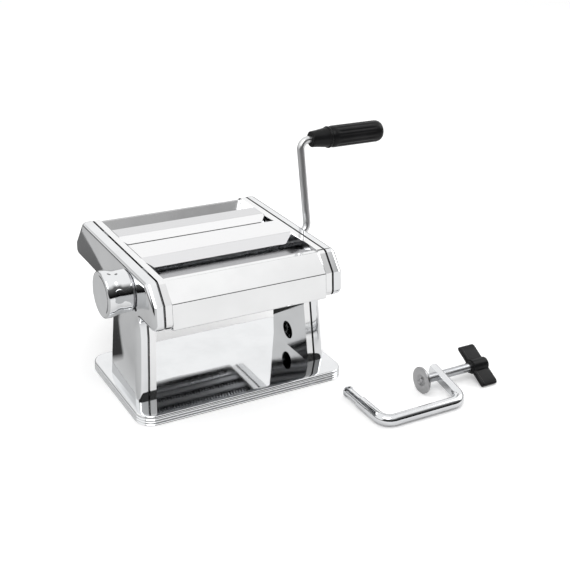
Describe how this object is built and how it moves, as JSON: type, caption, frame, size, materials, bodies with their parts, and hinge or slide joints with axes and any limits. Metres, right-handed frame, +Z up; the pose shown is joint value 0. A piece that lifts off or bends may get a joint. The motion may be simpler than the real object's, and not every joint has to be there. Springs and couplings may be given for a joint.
{
  "type": "hand-cranked pasta machine",
  "caption": "Polished steel pasta machine with a thickness knob, smooth rollers, wide and fine cutters, a fitted hand crank and a loose table clamp.",
  "frame": {"origin": "on the table under the middle of the base", "axes": "+X towards the crank, +Y to the rear, away from the front panel, +Z up"},
  "size_m": [0.3327, 0.2775, 0.2044],
  "materials": {
    "polished_steel": "mirror polished stainless steel",
    "panel_steel": "bright polished sheet",
    "roller_steel": "fine turned satin",
    "gear_steel": "machined, lightly greased",
    "spring_steel": "rolled strip",
    "screw_steel": "zinc plated",
    "bush_brass": "turned",
    "foot_rubber": "matte",
    "black_plastic": "moulded, satin gloss",
    "mark_black": "painted dot"
  },
  "bodies": {
    "machine": {"base_plate": "polished_steel", "rubber_feet": "foot_rubber", "base_screws": "screw_steel", "left_side_panel": "panel_steel", "right_side_panel": "panel_steel", "left_casing": "polished_steel", "right_casing": "polished_steel", "casing_clips": "spring_steel", "front_panel": "panel_steel", "front_tray": "panel_steel", "center_guide": "polished_steel", "rear_guide": "polished_steel", "rear_cover": "polished_steel", "tie_rods": "screw_steel", "tie_rod_screws": "screw_steel", "roller_bushes": "bush_brass", "cutter_bushes": "bush_brass", "roller_scrapers": "spring_steel", "front_combs": "spring_steel", "rear_combs": "spring_steel", "knob_bush": "bush_brass", "detent_plate": "gear_steel", "index_mark": "mark_black"},
    "carriage": {"left_bearing_block": "gear_steel", "right_bearing_block": "gear_steel", "adjust_bar": "gear_steel", "carriage_tie": "screw_steel"},
    "drive": {"drive_roller": "roller_steel", "drive_gear": "gear_steel"},
    "adjustable": {"adjustable_roller": "roller_steel", "adjustable_gear": "gear_steel"},
    "front_drive_cutter": {"front_cutter_b": "roller_steel", "front_gear_b": "gear_steel"},
    "front_idle_cutter": {"front_cutter_a": "roller_steel", "front_gear_a": "gear_steel"},
    "rear_drive_cutter": {"rear_cutter_a": "roller_steel", "rear_gear_a": "gear_steel"},
    "rear_idle_cutter": {"rear_cutter_b": "roller_steel", "rear_gear_b": "gear_steel"},
    "thickness_spindle": {"adjust_spindle": "screw_steel", "adjust_cam": "gear_steel", "spindle_screw": "screw_steel", "knob_spring": "spring_steel"},
    "thickness_knob": {"knob_shell": "polished_steel", "knob_hub": "black_plastic"},
    "crank": {"crank_rod": "polished_steel", "grip_washer": "screw_steel"},
    "grip": {"crank_grip": "black_plastic", "grip_end_cap": "black_plastic"},
    "clamp": {"clamp_bar": "polished_steel"},
    "pressure_disc": {"clamp_pad": "polished_steel"},
    "clamp_thread": {"clamp_screw": "screw_steel", "clamp_wing_knob": "black_plastic"}
  },
  "joints": [
    {"name": "thickness_turn", "type": "hinge", "parent": "machine", "child": "thickness_spindle", "pos_m": [0, -0.013, 0.1055], "axis": [-1, 0, 0], "range_deg": [0, 132]},
    {"name": "knob_pull", "type": "slide", "parent": "thickness_spindle", "child": "thickness_knob", "axis": [-1, 0, 0], "range_m": [0, 0.004], "stiffness_N_per_m": 800, "springref_m": -0.002, "deforming": ["knob_spring"]},
    {"name": "roller_gap", "type": "slide", "parent": "machine", "child": "carriage", "axis": [0, -1, 0], "range_m": [0, 0.00225]},
    {"name": "drive_turn", "type": "hinge", "parent": "machine", "child": "drive", "pos_m": [0, 0.02785, 0.1105], "axis": [1, 0, 0], "continuous": true},
    {"name": "adjustable_turn", "type": "hinge", "parent": "carriage", "child": "adjustable", "pos_m": [0, 0.0544, 0.1105], "axis": [1, 0, 0], "continuous": true},
    {"name": "front_cutter_turn", "type": "hinge", "parent": "machine", "child": "front_drive_cutter", "pos_m": [0, -0.0045, 0.103], "axis": [1, 0, 0], "continuous": true},
    {"name": "front_idle_turn", "type": "hinge", "parent": "machine", "child": "front_idle_cutter", "pos_m": [0, -0.0215, 0.103], "axis": [1, 0, 0], "continuous": true},
    {"name": "rear_cutter_turn", "type": "hinge", "parent": "machine", "child": "rear_drive_cutter", "pos_m": [0, 0.0795, 0.103], "axis": [1, 0, 0], "continuous": true},
    {"name": "rear_idle_turn", "type": "hinge", "parent": "machine", "child": "rear_idle_cutter", "pos_m": [0, 0.0965, 0.103], "axis": [1, 0, 0], "continuous": true},
    {"name": "crank_pull", "type": "slide", "parent": "drive", "child": "crank", "axis": [1, 0, 0], "range_m": [0, 0.06]},
    {"name": "grip_turn", "type": "hinge", "parent": "crank", "child": "grip", "pos_m": [0, 0.04851, 0.19398], "axis": [1, 0, 0], "continuous": true},
    {"name": "clamp_lift", "type": "slide", "parent": "machine", "child": "clamp", "axis": [0, 0, 1], "range_m": [0, 0.1]},
    {"name": "clamp_feed", "type": "slide", "parent": "clamp", "child": "pressure_disc", "axis": [-1, 0, 0], "range_m": [0, 0.025]},
    {"name": "clamp_turn", "type": "hinge", "parent": "pressure_disc", "child": "clamp_thread", "pos_m": [0, -0.1163, 0.0123], "axis": [-1, 0, 0], "range_deg": [0, 6000]}
  ],
  "couplings": [
    {"joint": "thickness_turn", "follows": "roller_gap", "rad_per_m": 1023.9},
    {"joint": "adjustable_turn", "follows": "drive_turn", "ratio": -1},
    {"joint": "front_idle_turn", "follows": "front_cutter_turn", "ratio": -1},
    {"joint": "rear_idle_turn", "follows": "rear_cutter_turn", "ratio": -1},
    {"joint": "clamp_turn", "follows": "clamp_feed", "rad_per_m": 4188.8}
  ]
}
